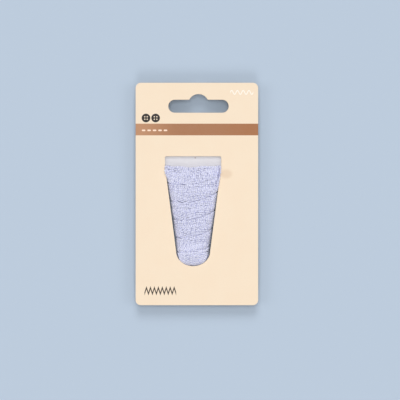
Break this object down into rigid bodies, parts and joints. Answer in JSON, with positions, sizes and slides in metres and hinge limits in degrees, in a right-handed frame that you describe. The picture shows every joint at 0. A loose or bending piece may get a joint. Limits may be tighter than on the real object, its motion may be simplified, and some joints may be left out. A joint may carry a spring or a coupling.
{
  "type": "card of elastic thread",
  "caption": "Hanging board card with a euro slot and a tapered window, holding covered elastic thread wound crosswise on a flat white board core that stands out of the window.",
  "frame": {"origin": "on the surface that the card lies on, under the middle of the card's blank", "axes": "+Z out of the card's printed face, +Y up the card towards its hanging slot, +X to the right of the printed face"},
  "size_m": [0.065, 0.118, 0.0101],
  "materials": {
    "printed_board": "cream printed paperboard with a satin coat, brown band",
    "white_board": "uncoated white board",
    "elastic_thread": "pale lavender polyester over a rubber strand, matt"
  },
  "bodies": {
    "root": {"card": "printed_board", "core": "white_board", "winding": "elastic_thread"}
  },
  "joints": []
}
